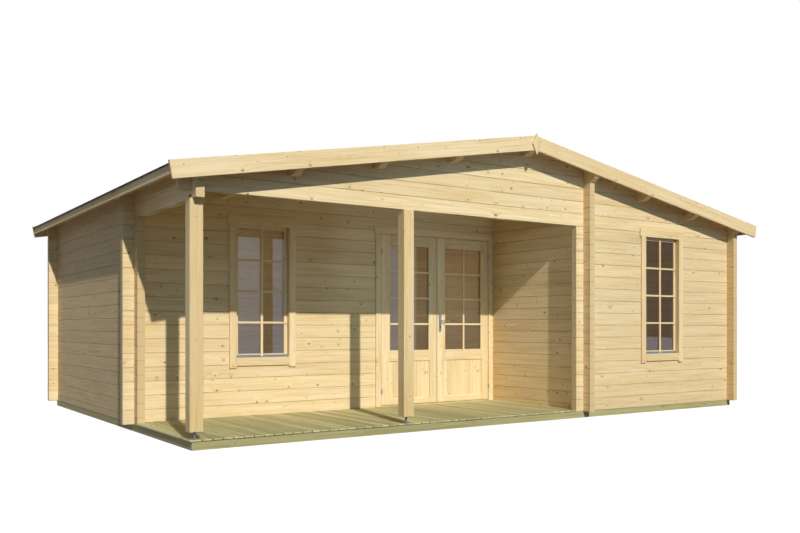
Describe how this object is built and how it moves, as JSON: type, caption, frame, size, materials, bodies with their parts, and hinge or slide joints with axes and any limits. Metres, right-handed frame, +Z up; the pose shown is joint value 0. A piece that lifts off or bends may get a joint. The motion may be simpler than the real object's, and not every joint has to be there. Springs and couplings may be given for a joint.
{
  "type": "log bungalow",
  "caption": "Log-built bungalow with a low gable roof, a porch recessed into its front corner on posts, glazed doors that open out onto the deck, and tall cased windows.",
  "frame": {"origin": "on the ground, under the ridge, midway between the front and rear of the roof", "axes": "+X along the front to the right, +Y to the back, +Z up; the front with the porch faces -Y"},
  "size_m": [7.38, 5.54, 2.957],
  "materials": {
    "pine_logs": "planed pine, unpainted",
    "pine_joinery": "planed pine, unpainted",
    "roof_boards": "planed pine boards",
    "floor_boards": "planed pine boards",
    "treated_timber": "green pressure-treated",
    "roof_felt": "mineral roofing felt",
    "dark_steel": "dark grey",
    "drip_strip": "blue-grey",
    "steel": "satin",
    "glass": "clear, faintly tinted"
  },
  "bodies": {
    "house": {"back_wall": "pine_logs", "bargeboard_front_left": "pine_joinery", "bargeboard_front_right": "pine_joinery", "bargeboard_rear_left": "pine_joinery", "bargeboard_rear_right": "pine_joinery", "door_frame": "pine_joinery", "eave_trim_left": "pine_joinery", "eave_trim_right": "pine_joinery", "finial_front": "pine_joinery", "finial_rear": "pine_joinery", "foundation_beams": "treated_timber", "foundation_side_beams": "treated_timber", "front_gable": "pine_logs", "front_wall": "pine_logs", "front_window_frame": "pine_joinery", "front_window_glass": "glass", "front_window_sash": "pine_joinery", "hinge_frame_knuckles": "steel", "inner_wall": "pine_logs", "left_eave_beam": "pine_logs", "left_side_wall": "pine_logs", "main_floor": "floor_boards", "porch_deck": "treated_timber", "porch_gable": "pine_logs", "porch_post_left": "pine_joinery", "porch_post_middle": "pine_joinery", "porch_wall_left": "pine_logs", "porch_wall_right": "pine_logs", "porch_window_frame": "pine_joinery", "porch_window_glass": "glass", "porch_window_sash": "pine_joinery", "post_feet": "dark_steel", "purlins": "pine_logs", "ridge_purlin": "pine_logs", "right_side_wall": "pine_logs", "roof_boards_left": "roof_boards", "roof_boards_right": "roof_boards", "roof_felt_left": "roof_felt", "roof_felt_right": "roof_felt", "window_drips": "drip_strip", "wing_floor": "floor_boards"},
    "left_door": {"door_leaf_left": "pine_joinery", "door_glass_left": "glass", "hinge_leaf_knuckles_left": "steel"},
    "right_door": {"door_leaf_right": "pine_joinery", "door_glass_right": "glass", "hinge_leaf_knuckles_right": "steel", "handle_plates": "steel"},
    "lever": {"door_lever": "steel"}
  },
  "joints": [
    {"name": "left_door_hinge", "type": "hinge", "parent": "house", "child": "left_door", "pos_m": [-0.742, -0.948, 1.05], "axis": [0, 0, -1], "range_deg": [0, 170]},
    {"name": "right_door_hinge", "type": "hinge", "parent": "house", "child": "right_door", "pos_m": [0.787, -0.948, 1.05], "axis": [0, 0, 1], "range_deg": [0, 90]},
    {"name": "lever_turn", "type": "hinge", "parent": "right_door", "child": "lever", "pos_m": [0.0665, -0.9095, 1.0679], "axis": [0, 1, 0], "range_deg": [0, 40], "stiffness_Nm_per_rad": 1, "springref_deg": -34.38}
  ]
}
